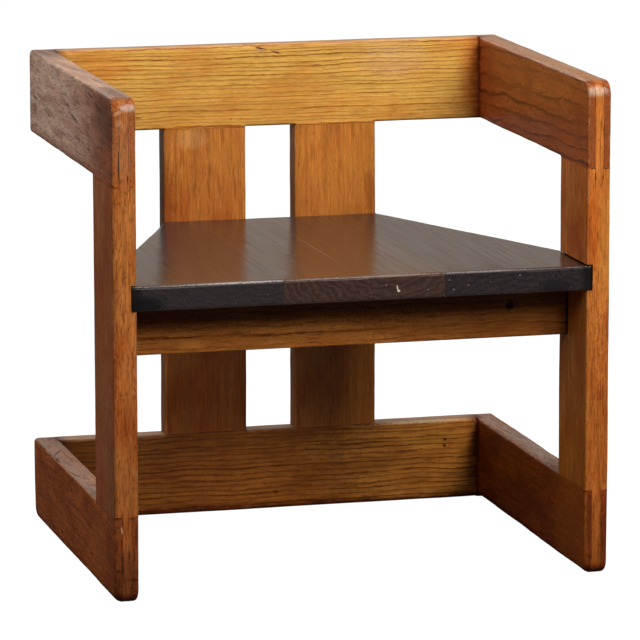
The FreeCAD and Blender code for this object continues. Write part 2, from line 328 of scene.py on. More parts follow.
def oiled_pine(name, grain, pith, ring, pale, late, flush, sway=9.0, lines=0.9, late_share=0.28, dashes=0.3,
               pits=0.4, gouges=0.0, clouds=0.8, fuzz=0.10, mottle=0.08, rough=0.30, tilt=(0, 0, 0),
               zigzag=(10, 2.4), bleach="#A8886E", end_tone="#A05A2A", undertones=(), marks=(), **sockets):
    """Oiled and hand-worn softwood: the rings are cylinders about the pith, which runs along the grain.

    A ring's colour rises from pale early wood to dark late wood and drops at once, and noise that is long
    along the grain bends the rings. pith is a point on the log's middle, ring, sway and zigzag are in
    millimetres, and late_share is how much of a ring is late wood. The other shares say how strongly each
    kind of mark shows. Undertones are ovals of colour under the rings, marks are ovals over them, and the
    sockets are the shader's own."""
    wood = bare_material("oiled_pine_" + name)
    end, bleached, worn, soiled, joint = [
        add_node(wood, "Attribute", attribute_name=title)
        for title in ("end", "bleached", "worn", "soiled", "joint")]
    along_grain = ((0, 0, 0), (0, 0, 90), (0, -90, 0))[grain]
    rotation = [math.radians(a + b) for a, b in zip(along_grain, tilt)]
    place = (add_node(wood, "TexCoord"), "Object")
    mapped = add_node(wood, "Mapping", {"Vector": place, "Location": pith, "Rotation": rotation},
                      vector_type="TEXTURE")
    log = (mapped, "Vector")

    # The log's own bends, then the ring count from the pith, with rings of uneven width and frayed edges
    bends = streaks(wood, log, 95, 30, 2.0)
    centred = add_node(wood, "VectorMath", {0: (bends, "Color"), 1: (0.5, 0.5, 0.5)}, operation="SUBTRACT")
    bent = add_node(wood, "VectorMath", {0: (centred, "Vector"), 1: (0, sway * mm, sway * mm), 2: log},
                    operation="MULTIPLY_ADD")
    across_grain = add_node(wood, "VectorMath", {0: (bent, "Vector"), 1: (0, 1, 1)}, operation="MULTIPLY")
    reach = add_node(wood, "VectorMath", {0: (across_grain, "Vector")}, operation="LENGTH")
    count = add_node(wood, "Math", {0: (reach, "Value"), 1: ring * mm}, operation="DIVIDE")
    uneven = add_node(wood, "TexNoise", {"W": (count, "Value"), "Scale": 0.45, "Detail": 1.0},
                      noise_dimensions="1D")
    wide = add_node(wood, "Math", {0: (uneven, "Fac"), 1: 1.2, 2: (count, "Value")}, operation="MULTIPLY_ADD")
    frayed = streaks(wood, log, *zigzag, 4.0)
    total = add_node(wood, "Math", {0: (frayed, "Fac"), 1: late_share * 2.0, 2: (wide, "Value")},
                     operation="MULTIPLY_ADD")
    phase = add_node(wood, "Math", {0: (total, "Value")}, operation="FRACT")
    late_end = 0.94
    profile = add_node(wood, "ValToRGB", {"Fac": (phase, "Value")}, stops=[
        (0.0, "#000000"), (late_end - 2.2 * late_share, "#333333"), (late_end - late_share, "#808080"),
        (late_end - 0.6 * late_share, "#FFFFFF"), (late_end, "#FFFFFF"), (0.99, "#000000")])

    # Each ring is its own darkness, fades in places, and hardly shows on end grain
    ring_number = add_node(wood, "Math", {0: (total, "Value")}, operation="FLOOR")
    chance = add_node(wood, "TexWhiteNoise", {"W": (ring_number, "Value")}, noise_dimensions="1D")
    heavy = add_node(wood, "MapRange", {"Value": (chance, "Value"), "To Min": 0.5, "To Max": 1.1})
    faded = flecks(wood, log, 45, 9, 2.0, low=0.32, high=0.58, most=lines, least=0.6 * lines)
    kept = add_node(wood, "MapRange", {"Value": (end, "Fac"), "To Min": 1.0, "To Max": 0.4})
    line = (profile, "Color")
    for share in (heavy, faded, kept):
        product = add_node(wood, "Math", {0: line, 1: (share, "Result")}, operation="MULTIPLY")
        line = (product, "Value")

    # The arms' tops and outsides are painted pale and mauve, a bleach with a painted sheen on it, and hands
    # have rubbed bare edges pale
    patches = streaks(wood, log, 60, 30, 3.0)
    patch = add_node(wood, "MapRange", {
        "Value": (patches, "Fac"), "From Min": 0.42, "From Max": 0.66, "To Max": clouds})
    curled = flecks(wood, log, 5, 24, 2.0, low=0.35, high=0.65, most=0.15)
    sawn = add_node(wood, "MapRange", {"Value": (end, "Fac"), "To Max": 0.75})
    scuffed = flecks(wood, log, 130, 9, 2.0, low=0.36, high=0.60, least=0.5)
    bleach_and_sheen_skin = add_node(wood, "Math", {0: (bleached, "Fac"), 1: (scuffed, "Result")}, operation="MULTIPLY")
    grime = streaks(wood, log, 13, 6, 2.0)
    touched = add_node(wood, "Math", {0: (worn, "Fac"), 1: (grime, "Fac")}, operation="MULTIPLY")
    rubbed = add_node(wood, "MapRange", {
        "Value": (touched, "Value"), "From Min": 0.34, "From Max": 0.62, "To Max": 0.35})

    # Short dark pores, pits and gouges, old dirt with a painted shade in the inside corners, and dirt in
    # parts of the seams
    dashed = flecks(wood, log, 24, 1.5, 1.0, low=0.54, high=0.67, most=dashes)
    pitted = flecks(wood, log, 5.5, 1.3, 1.0, low=0.57, high=0.69, most=pits)
    gouged = flecks(wood, log, 46, 3.6, 1.0, low=0.60, high=0.70, most=gouges)
    corner_dirt_and_shade = add_node(wood, "Math", {0: (soiled, "Fac"), 1: (grime, "Fac")}, operation="MULTIPLY")
    dirt_and_shade_halo = add_node(wood, "MapRange", {
        "Value": (corner_dirt_and_shade, "Value"), "From Min": 0.12, "From Max": 0.50, "To Max": 0.85})
    gap = add_node(wood, "MapRange", {"Value": (joint, "Fac"), "From Min": 0.93, "From Max": 1.0})
    dirty = flecks(wood, log, 22, 22, 2.0, low=0.52, high=0.64, most=0.5)
    seam = add_node(wood, "Math", {0: (gap, "Result"), 1: (dirty, "Result")}, operation="MULTIPLY")

    # The layers of colour, from the wood's own outwards
    fray = streaks(wood, log, 2.6, 1.5, 3.0)
    colour = laid_over(wood, linear(pale), [
        *oval_marks(wood, place, fray, undertones),
        (line, late),
        ((patch, "Result"), flush),
        ((curled, "Result"), flush),
        ((sawn, "Result"), end_tone),
        ((bleach_and_sheen_skin, "Value"), bleach),
        ((rubbed, "Result"), "#D29A66"),
        ((dashed, "Result"), late),
        ((pitted, "Result"), "#2C140A"),
        ((gouged, "Result"), "#2E1A14"),
        ((dirt_and_shade_halo, "Result"), "#561A06"),
        ((seam, "Value"), "#1A0D07"),
        *oval_marks(wood, place, fray, marks),
    ])

    # Fibres, soft bands along the grain, and mottling make the colour lighter and darker
    fibres = streaks(wood, log, 16, 0.9, 3.0)
    bands = streaks(wood, log, 150, 5, 1.0)
    mottles = streaks(wood, log, 26, 4, 4.0)
    for source, amount in ((fibres, fuzz), (bands, 0.10), (mottles, mottle)):
        bright = add_node(wood, "MapRange", {
            "Value": (source, "Fac"), "From Min": 0.32, "From Max": 0.68, "To Min": 1 - amount,
            "To Max": 1 + 0.8 * amount})
        toned = add_node(wood, "HueSaturation", {"Value": (bright, "Result"), "Color": colour})
        colour = (toned, "Color")

    # Late wood stands a little proud, pits are open, and the dried oil is slightly uneven
    proud = add_node(wood, "Math", {0: line, 1: 0.5, 2: (fibres, "Fac")}, operation="MULTIPLY_ADD")
    opened = add_node(wood, "Math", {0: (proud, "Value"), 1: (pitted, "Result")}, operation="SUBTRACT")
    oil = streaks(wood, log, 2.5, 1.8, 2.0)
    height = add_node(wood, "Math", {0: (opened, "Value"), 1: (oil, "Fac")}, operation="ADD")
    sheen = add_node(wood, "MapRange", {
        "Value": (patches, "Fac"), "From Min": 0.3, "From Max": 0.7, "To Min": rough - 0.05,
        "To Max": rough + 0.09})
    open_pits = add_node(wood, "Math", {0: (pitted, "Result"), 1: 0.3, 2: (sheen, "Result")},
                         operation="MULTIPLY_ADD")
    dull = add_node(wood, "Math", {0: (end, "Fac"), 1: 0.12, 2: (open_pits, "Value")},
                    operation="MULTIPLY_ADD")
    return wood_surface(wood, colour, (dull, "Value"), (height, "Value"), 1.46, **sockets)


across, deep, up = 0, 1, 2
rail_face = box_of("upper_back_rail")[0][deep]
arms = [box_of("left_arm"), box_of("right_arm")]
slats = [box_of("left_back_slat"), box_of("right_back_slat")]
round_top, round_foot = 8 * mm, 14 * mm


def top_bleach_and_sheen(points, facing, share=0.7):
    """How pale a board's top is painted, as a bleach with a painted sheen: only where it faces up, and there
    by that share.
    """
    return share * np.clip(facing[:, up] * 2 - 0.8, 0, 1)


upper_rail_wood = oiled_pine(
    "upper_rail", across, pith=(0, 0.235, 0.16), ring=4.4, pale="#E0AE53", late="#8E4008", flush="#C87E30",
    sway=8.0, lines=0.92, late_share=0.30, dashes=0.25, pits=0.15, clouds=0.5, fuzz=0.08, mottle=0.06,
    rough=0.32, marks=[
        ((-0.0099, rail_face, 0.4894), (6.5, 4, 1.1), "#4E260C", 1.0, (0, 12, 0)),
        ((-0.0099, rail_face, 0.4876), (6.5, 4, 1.4), "#B08468", 0.6, (0, 12, 0)),
        ((0.006, rail_face, 0.4849), (6.0, 4, 1.1), "#4E260C", 1.0, (0, 16, 0)),
        ((0.006, rail_face, 0.4867), (6.0, 4, 1.4), "#B08468", 0.6, (0, 16, 0)),
        ((-0.141, rail_face, 0.4215), (5.5, 4, 1.4), "#553010", 0.7),
        ((-0.141, rail_face, 0.4262), (4.5, 4, 1.0), "#6A3A14", 0.6),
        ((-0.042, rail_face, 0.4166), (1.2, 4, 1.6), "#5A2C0C", 0.8, (0, -30, 0)),
        # Painted shade, darker and redder, at the rail's right end beside the right arm
        ((0.22, rail_face, 0.451), (17, 5, 80), "#BC4E0E", 0.38),
        ((-0.172, rail_face, 0.479), (34, 5, 22), "#D8741C", 0.27),
        ((-0.01, rail_face, 0.425), (170, 5, 34), "#C06818", 0.22),
        ((0.135, rail_face, 0.475), (44, 5, 26), "#F8E0C0", 0.10),
    ])
make_board(
    "upper_back_rail", upper_rail_wood, deep, across, special={(1, up, 1): round_top}, bleached=top_bleach_and_sheen,
    mates=[*arms, *slats], soiled=arms, seed=3)


# Lower back rail
# The upper rail's twin at floor level, between the runners. Its lower back edge has the round of the
# runners' heels. Its right part is lightened with a painted pool of light, and its left part darkened with
# painted shade.
the_floor = (np.array([-1.0, -1.0, -1.0]), np.array([1.0, 1.0, 0.0]))
runners = [box_of("left_runner"), box_of("right_runner")]
lower_rail_wood = oiled_pine(
    "lower_rail", across, pith=(0, 0.225, -0.21), ring=5.2, pale="#BC7028", late="#481604",
    flush="#8C4410", sway=10.0, lines=1.0, late_share=0.31, dashes=0.35, clouds=0.5, pits=0.2, fuzz=0.12,
    # The undertone is a painted pool of light on the rail's right part
    mottle=0.12, rough=0.36, undertones=[((0.22, rail_face, 0.05), (200, 5, 90), "#EEA84A", 0.46)], marks=[
        ((0.0047, rail_face, 0.0179), (3.2, 4, 1.8), "#2A1004", 0.85),
        ((0.1905, rail_face, 0.0645), (2.2, 4, 2.0), "#2A1004", 0.95),
        ((0.1901, rail_face, 0.0579), (2.2, 4, 2.0), "#2A1004", 0.95),
        ((0.0802, rail_face, 0.0223), (2.4, 4, 1.4), "#2A1004", 0.6),
        # Painted highlight along the rail's top front edge
        ((0.165, rail_face, 0.0852), (60, 5, 2.6), "#F0CE9C", 0.6),
        # Painted shade on the rail's left part
        ((-0.26, rail_face, 0.043), (260, 5, 120), "#3A1A08", 0.30),
    ])
make_board(
    "lower_back_rail", lower_rail_wood, deep, across, special={(1, up, 0): round_foot}, bleached=top_bleach_and_sheen,
    mates=[*runners, *slats], soiled=[*runners, the_floor], seed=5)


# Back slats
# Two upright boards between the rails, level with the rails' faces. Their rings are fine and straight, and
# show as short dark streaks. The left one is the redder.
slat_middle = np.mean(slats[0], axis=0)[deep]
slat_colours = {"left": ("#C87C34", "#742E06", "#AC5820"), "right": ("#C67A31", "#82380A", "#AE6228")}
slat_marks = {
    "left": [
        ((-0.083, rail_face, 0.398), (22, 4, 13), "#D2A066", 0.30),
        ((-0.114, rail_face, 0.32), (14, 4, 60), "#7A2E08", 0.45),
        ((-0.07, rail_face, 0.1), (90, 4, 190), "#8A3004", 0.36),
        # Painted shade on the left slat's left side face
        ((-0.1145, slat_middle, 0.25), (1.2, 60, 400), "#2A160C", 0.74),
    ],
    "right": [
        ((0.07, rail_face, 0.34), (80, 4, 46), "#F0A044", 0.14),
        ((0.108, rail_face, 0.335), (9, 4, 30), "#8A3A0C", 0.45),
        # Painted shade on the right slat's left side face
        ((0.0255, slat_middle, 0.25), (1.2, 60, 400), "#3A1C10", 0.44),
    ],
}
glued_corner = 0.3 * mm
glued_pair = [glued_corner, glued_corner]
for side, sign in (("left", -1), ("right", 1)):
    pale, late, flush = slat_colours[side]
    slat_wood = oiled_pine(
        side + "_slat", up, pith=(sign * 0.07 + 0.24, 0.21, 0), ring=3.4, pale=pale, late=late, flush=flush,
        sway=6.0, lines=0.25, dashes=0.42, pits=0.25, fuzz=0.09, rough=0.32, marks=slat_marks[side])
    make_board(
        side + "_back_slat", slat_wood, deep, up, corners=[glued_pair, glued_pair],
        mates=[box_of("upper_back_rail"), box_of("lower_back_rail")], seed=7 + sign)


# Arms, runners and posts
# Each side frame is an arm and a runner joined by a wide front post. The arm and the runner end in a fork,
# and the post's tenon fills it (an open bridle joint), so three strips of wood show on the front and on the
# arm's top.
tenon_share = 9 / 24
past, housing_depth, housing_room = 5 * mm, 6 * mm, 1 * mm
front_corner, back_corner = 14 * mm, 4.5 * mm
chip, crack = "#E0B48A", "#150A05"
# Each wood's pale tone for its tops, and on the arms for their outsides, is a bleach with a painted sheen.
arm_woods = {
    "left": dict(ring=8, pale="#A85624", late="#421808", flush="#7C3A18", sway=10.0, lines=0.6,
                 late_share=0.25, dashes=0.5, pits=0.30, gouges=0.4, fuzz=0.14, mottle=0.10, rough=0.32,
                 tilt=(0, 0, 6), bleach="#ECC4AC", end_tone="#A85C26", **{"Specular IOR Level": 0.14}),
    "right": dict(ring=13, pale="#A85224", late="#4A1C0E", flush="#924418", sway=17.0, lines=1.0,
                  late_share=0.22, dashes=0.25, pits=0.3, rough=0.30, tilt=(0, 0, 4), zigzag=(22, 6),
                  bleach="#A4805E", end_tone="#8A4A24", **{"Specular IOR Level": 0.25}),
}
matt = {"Specular IOR Level": 0.11}
any_runner = dict(ring=9, sway=12.0, lines=0.4, dashes=0.5, pits=0.5, gouges=0.30, fuzz=0.14, mottle=0.14,
                   rough=0.38, tilt=(0, 0, 3), bleach="#90887C", **matt)
runner_woods = {
    "left": dict(pale="#B65E20", late="#4A1A06", flush="#8A4212", end_tone="#7C4020", **any_runner),
    "right": dict(pale="#A0480F", late="#441806", flush="#7A340C", end_tone="#844420", **any_runner),
}
any_post = dict(ring=4.2, sway=5.0, lines=0.3, dashes=0.5, fuzz=0.20, mottle=0.14, rough=0.28, **matt)
post_woods = {
    "left": dict(pale="#B26C34", late="#6A280A", flush="#9A4818", bleach="#CCA088", pits=0.50, **any_post),
    "right": dict(pale="#C87834", late="#7A340C", flush="#A64A14", bleach="#A4805E", pits=0.35, **any_post),
}
left_face, front = box_of("left_arm")[0][:up]
arm_top, runner_top = box_of("left_arm")[1][up], box_of("left_runner")[1][up]
right_inside = box_of("right_front_post")[0][across]
top_bleach_and_sheen_share = {"left": 0.60, "right": 0.90}
side_marks = {
    "left": [
        ((-0.2433, front, 0.428), (0.8, 3, 17), crack, 0.9),
        ((-0.2348, front, 0.4165), (0.8, 3, 5), crack, 0.9),
        ((-0.2415, front, 0.4835), (1.2, 3, 1.4), crack, 0.8),
        ((-0.2427, front, 0.4669), (2.0, 3, 2.0), crack, 0.6),
        ((-0.2425, front, 0.47), (4.5, 3, 5.0), "#C89868", 0.35),
        ((left_face, front, 0.4836), (1.6, 3, 2.2), chip, 0.9),
        ((-0.244, front, 0.48), (5.0, 3, 2.2), chip, 0.35, (0, -25, 0)),
        # Painted highlight on the left arm's front bend, where the edge is also worn pale
        ((-0.2335, front, 0.485), (11.0, 6, 5.0), "#ECE2DA", 0.28),
        ((-0.238, 0.0, arm_top), (90, 400, 4), "#64644E", 0.25),
        # Painted shade, darker and redder, on the left post's outer face
        ((left_face, -0.16, 0.23), (5, 80, 300), "#8A3408", 0.22),
        ((-0.238, front, 0.448), (16, 4, 40), "#6A8278", 0.10),
        ((-0.238, -0.155, arm_top), (40, 48, 4), "#56423A", 0.6),
        ((-0.238, 0.185, arm_top), (40, 85, 4), "#4A2E20", 0.65),
        ((left_face, 0.2, 0.45), (5, 9, 80), "#2E1C16", 0.65),
        ((left_face, -0.165, 0.47), (4, 60, 30), "#3A241C", 0.5),
        ((-0.238, front, 0.03), (60, 60, 210), "#5E2A12", 0.32),
        ((-0.238, front, 0.005), (60, 12, 44), "#3A1A0E", 0.45),
        ((-0.231, front, 0.024), (10.0, 3, 1.6), crack, 0.7, (0, 6, 0)),
        ((-0.247, front, 0.033), (6.0, 3, 1.4), crack, 0.7, (0, -8, 0)),
        ((-0.2425, front, 0.038), (1.5, 3, 16), crack, 0.9),
        ((-0.234, front, 0.017), (1.3, 3, 12), crack, 0.6, (0, 10, 0)),
        ((-0.229, front, 0.068), (1.5, 3, 14), crack, 0.6),
        ((-0.233, front, 0.085), (5.0, 3, 1.2), crack, 0.5, (0, 5, 0)),
        ((left_face, -0.025, 0.453), (3, 28, 1.7), crack, 0.75, (6, 0, 0)),
        ((left_face, 0.002, 0.46), (3, 15, 1.5), crack, 0.6, (10, 0, 0)),
        ((left_face, -0.102, 0.485), (3, 15, 1.8), crack, 0.85, (4, 0, 0)),
        ((left_face, -0.136, 0.478), (3, 18, 1.6), crack, 0.7, (13, 0, 0)),
        ((left_face, 0.168, 0.448), (3, 13, 2.0), crack, 0.8, (5, 0, 0)),
        ((left_face, 0.121, 0.4512), (3, 14, 1.3), crack, 0.6, (3, 0, 0)),
        ((left_face, 0.169, 0.435), (3, 6, 8), crack, 0.4),
        ((left_face, -0.024, 0.429), (3, 13, 1.0), chip, 0.7, (-6, 0, 0)),
        ((left_face, 0.038, 0.412), (3, 12, 0.9), chip, 0.5, (10, 0, 0)),
        ((left_face, -0.06, 0.438), (3, 34, 0.8), chip, 0.35, (9, 0, 0)),
        ((left_face, -0.09, 0.43), (3, 40, 0.8), crack, 0.40, (11, 0, 0)),
        ((left_face, -0.11, 0.445), (3, 38, 0.8), chip, 0.30, (12, 0, 0)),
        ((left_face, 0.07, 0.456), (3, 60, 13), "#D2A894", 0.35, (-4, 0, 0)),
        ((-0.248, 0.084, runner_top), (2.4, 13, 3), crack, 0.85),
        ((-0.2434, 0.1115, runner_top), (1.8, 25, 3), crack, 0.85, (0, 0, -25)),
        ((-0.246, 0.008, runner_top), (1.8, 24, 3), crack, 0.6, (0, 0, 8)),
        ((-0.2265, 0.17, runner_top), (1.6, 28, 3), crack, 0.7),
        ((-0.2455, front, 0.0857), (4.0, 3, 0.7), crack, 0.9),
        ((-0.247, front, 0.0765), (2.2, 3, 0.7), crack, 0.9, (0, 20, 0)),
        ((-0.2436, front, 0.06), (0.7, 3, 8), crack, 0.85, (0, 4, 0)),
        ((-0.243, front, 0.074), (0.8, 3, 4.5), chip, 0.6),
        ((-0.238, front, 0.035), (9.0, 3, 26), "#5A2C18", 0.5),
        ((-0.236, front, 0.05), (0.7, 3, 9), crack, 0.6, (0, -5, 0)),
        ((-0.24, front, 0.016), (0.8, 3, 11), crack, 0.6),
        ((-0.2462, front, 0.02), (0.8, 3, 9), crack, 0.55, (0, 4, 0)),
        ((-0.231, front, 0.048), (0.8, 3, 12), crack, 0.45),
        ((-0.248, front, 0.056), (0.8, 3, 14), crack, 0.45),
    ],
    "right": [
        ((0.2339, front, 0.4), (0.9, 3, 4.5), crack, 0.9),
        ((0.2421, front, 0.4), (0.7, 3, 5.0), crack, 0.7),
        ((right_inside, 0.151, 0.4128), (3, 1.0, 3.6), "#C08850", 0.6, (25, 0, 0)),
        ((right_inside, 0.143, 0.412), (3, 0.9, 3.6), "#C08850", 0.6, (25, 0, 0)),
        # Painted highlight on the right arm's front bend
        ((0.235, front, 0.485), (14.0, 6, 7.0), "#E8CDB4", 0.40),
        ((0.238, front, 0.03), (60, 60, 320), "#6A2006", 0.42),
        ((0.238, front, 0.005), (60, 20, 60), "#4A200C", 0.28),
        ((0.244, front, 0.335), (10, 6, 60), "#E0A848", 0.18),
        # Painted light on the lower part of the right post's inner face
        ((right_inside, -0.155, 0.17), (6, 80, 110), "#FFA040", 0.18),
        ((right_inside, -0.16, 0.045), (6, 80, 80), "#C4701E", 0.28),
        ((0.235, front, 0.062), (1.0, 3, 16), "#3A1408", 0.6),
        ((0.248, front, 0.056), (0.8, 3, 22), "#3A1408", 0.5),
        ((0.241, front, 0.025), (0.8, 3, 15), "#3A1408", 0.5),
        ((0.232, front, 0.02), (0.8, 3, 9), "#3A1408", 0.5),
        ((0.23, front, 0.06), (3.4, 3, 34), "#461A0E", 0.6),
        ((0.245, front, 0.04), (4.0, 3, 26), "#4A240E", 0.5),
    ],
}
for side, sign in (("left", -1), ("right", 1)):
    post = box_of(side + "_front_post")
    arm = box_of(side + "_arm")
    runner = box_of(side + "_runner")
    middle = (post[0][across] + post[1][across]) / 2
    tenon_half = (post[1][across] - post[0][across]) * tenon_share / 2
    tenon = (
        np.array([middle - tenon_half, post[0][deep], runner[0][up]]),
        np.array([middle + tenon_half, post[1][deep], arm[1][up]]),
    )
    cheeks = (
        np.array([post[0][across], post[0][deep], runner[1][up]]),
        np.array([post[1][across], post[1][deep], arm[0][up]]),
    )
    slot_space = (tenon[0] - [0, past, past], tenon[1] + [0, 0, past])

    def bleached(points, facing, sign=sign, lowest=arm[0][up], top_share=top_bleach_and_sheen_share[side]):
        """How pale an arm is painted, as a bleach with a painted sheen: its top, and its outer face from the
        front end backwards.
        """
        fade_start, fade_length, bend_end, bottom_strip = 34 * mm, 176 * mm, 8 * mm, 10 * mm
        behind_front = points[:, deep] - front
        backwards = np.clip((behind_front - fade_start) / fade_length, 0.01, 1)
        outside = np.clip(facing[:, across] * sign * 2 - 0.6, 0, 1)
        behind_bend = np.clip(behind_front / bend_end - 1, 0, 1)
        high_up = np.clip((points[:, up] - lowest) / bottom_strip, 0, 1)
        return np.maximum(outside * backwards, top_bleach_and_sheen(points, facing, top_share)) * behind_bend * high_up

    arm_finish = oiled_pine(
        side + "_arm", deep, pith=(sign * 0.17, 0, 0.33), marks=side_marks[side], **arm_woods[side])
    make_board(
        side + "_arm", arm_finish, across, deep,
        corners=[[glued_corner, front_corner], [back_corner, round_top]],
        mates=[tenon, cheeks, box_of("upper_back_rail")], removed=[slot_space],
        soiled=[box_of("upper_back_rail")], bleached=bleached, seed=20 + sign)

    runner_finish = oiled_pine(
        side + "_runner", deep, pith=(sign * 0.15, 0, -0.08), marks=side_marks[side],
        **runner_woods[side])
    make_board(
        side + "_runner", runner_finish, across, deep,
        corners=[[front_corner, glued_corner], [round_foot, back_corner]],
        mates=[tenon, cheeks, box_of("lower_back_rail")], removed=[slot_space],
        soiled=[box_of("lower_back_rail"), the_floor], bleached=top_bleach_and_sheen, foot_wear=(1.7, 0.3),
        seed=30 + sign)

    seat_edge = box_of("seat_board_" + side)
    inner_face = post[0][across] if sign > 0 else post[1][across]
    housing_low, housing_high = sorted((inner_face + sign * housing_depth, inner_face - sign * past))
    housing = (
        np.array([housing_low, post[0][deep] - past, seat_edge[0][up]]),
        np.array([housing_high, post[1][deep] + past, seat_edge[1][up] + housing_room]),
    )
    beside_tenon = ((post[0][across] - past, tenon[0][across]), (tenon[1][across], post[1][across] + past))
    past_shoulders = ((-past, runner[1][up]), (arm[0][up], arm[1][up] + past))
    waste = [
        (np.array([low_x, post[0][deep] - past, low_z]), np.array([high_x, post[1][deep] + past, high_z]))
        for low_x, high_x in beside_tenon for low_z, high_z in past_shoulders]
    cheek_spaces = [(np.maximum(low, post[0]), np.minimum(high, post[1])) for low, high in waste]
    post_finish = oiled_pine(
        side + "_post", up, pith=(sign * 0.20, 0.03, 0), marks=side_marks[side], **post_woods[side])
    make_board(
        side + "_front_post", post_finish, across, up, corners=[[front_corner, front_corner], glued_pair],
        mates=cheek_spaces, removed=[*waste, housing], soiled=[the_floor], bleached=bleached, seed=40 + sign)


# Seat
# Three staves glued side by side, front to back, and stained nearly black under a satin varnish. The panel is
# straight beside the posts and then narrows to the slats.
def stained_seat_wood(name, shift, dark, light, ring_middle, rings, marks=()):
    """Softwood stained nearly black under satin varnish, with faint fibres, scratches and reflections."""
    wood = bare_material("stained_softwood_seat_" + name)
    end, worn, soiled, joint = [
        add_node(wood, "Attribute", attribute_name=title) for title in ("end", "worn", "soiled", "joint")]
    place = (add_node(wood, "TexCoord"), "Object")
    mapped = add_node(wood, "Mapping", {
        "Vector": place, "Location": shift, "Rotation": (0, 0, math.radians(90))},
        vector_type="TEXTURE")
    board = (mapped, "Vector")
    fibres = streaks(wood, board, 45, 1.3, 3.0)
    base = add_node(wood, "ValToRGB", {"Fac": (fibres, "Fac")}, stops=[(0.3, dark), (0.7, light)])

    # On the front edge the year rings show as arcs about a pith above or below the seat, with small chips
    pith = add_node(wood, "Mapping", {"Vector": place, "Location": ring_middle},
                    vector_type="TEXTURE")
    across_grain = add_node(wood, "VectorMath", {0: (pith, "Vector"), 1: (1, 0, 1)}, operation="MULTIPLY")
    reach = add_node(wood, "VectorMath", {0: (across_grain, "Vector")}, operation="LENGTH")
    count = add_node(wood, "Math", {0: (reach, "Value"), 1: 3.2 * mm}, operation="DIVIDE")
    frayed = streaks(wood, place, 11, 8, 4.0)
    total = add_node(wood, "Math", {0: (frayed, "Fac"), 1: 5.0, 2: (count, "Value")},
                     operation="MULTIPLY_ADD")
    phase = add_node(wood, "Math", {0: (total, "Value"), 1: 1.0}, operation="PINGPONG")
    arcs = add_node(wood, "MapRange", {
        "Value": (phase, "Value"), "From Min": 0.25, "From Max": 1.0, "To Max": rings})
    ringed = add_node(wood, "Math", {0: (end, "Fac"), 1: (arcs, "Result")}, operation="MULTIPLY")
    chips = flecks(wood, place, 1.8, 1.3, 1.0, low=0.74, high=0.79, most=0.45)
    chipped = add_node(wood, "Math", {0: (end, "Fac"), 1: (chips, "Result")}, operation="MULTIPLY")

    # On the faces a ruddy grain, the glue lines and scratches show through the stain
    grain = streaks(wood, board, 110, 4.5, 3.0)
    streaked = add_node(wood, "MapRange", {
        "Value": (grain, "Fac"), "From Min": 0.40, "From Max": 0.66, "To Max": 0.24})
    face_grain = add_node(wood, "Math", {0: 1.0, 1: (end, "Fac")}, operation="SUBTRACT")
    ruddy = add_node(wood, "Math", {0: (streaked, "Result"), 1: (face_grain, "Value")}, operation="MULTIPLY")
    glue_line = add_node(wood, "MapRange", {
        "Value": (joint, "Fac"), "From Min": 0.93, "From Max": 1.0, "To Max": 0.6})
    seam = add_node(wood, "Math", {0: (glue_line, "Result"), 1: (face_grain, "Value")}, operation="MULTIPLY")
    scratched = flecks(wood, board, 70, 0.6, 0.0, low=0.78, high=0.86, most=0.18)
    rubbed = add_node(wood, "MapRange", {"Value": (worn, "Fac"), "From Min": 0.80, "To Max": 0.30})
    # Black dirt and a painted shade darken the seat beside the posts' housings
    blackened_and_shaded = add_node(wood, "MapRange", {
        "Value": (soiled, "Fac"), "From Min": 0.55, "From Max": 0.95, "To Max": 0.85})
    fray = streaks(wood, board, 2.6, 1.5, 3.0)
    colour = laid_over(wood, (base, "Color"), [
        ((ruddy, "Value"), "#5A3020"),
        ((ringed, "Value"), "#5E4036"),
        ((scratched, "Result"), "#8A7468"),
        ((chipped, "Value"), "#8A7468"),
        ((rubbed, "Result"), "#8C7466"),
        ((blackened_and_shaded, "Result"), "#0B0808"),
        ((seam, "Value"), "#6E5A4E"),
        *oval_marks(wood, place, fray, marks),
    ])
    sheen = add_node(wood, "MapRange", {
        "Value": (grain, "Fac"), "From Min": 0.3, "From Max": 0.7, "To Min": 0.16, "To Max": 0.27})
    height = add_node(wood, "Math", {0: (grain, "Fac"), 1: 1.2, 2: (fibres, "Fac")}, operation="MULTIPLY_ADD")
    return wood_surface(wood, colour, (sheen, "Result"), (height, "Value"), 1.53)


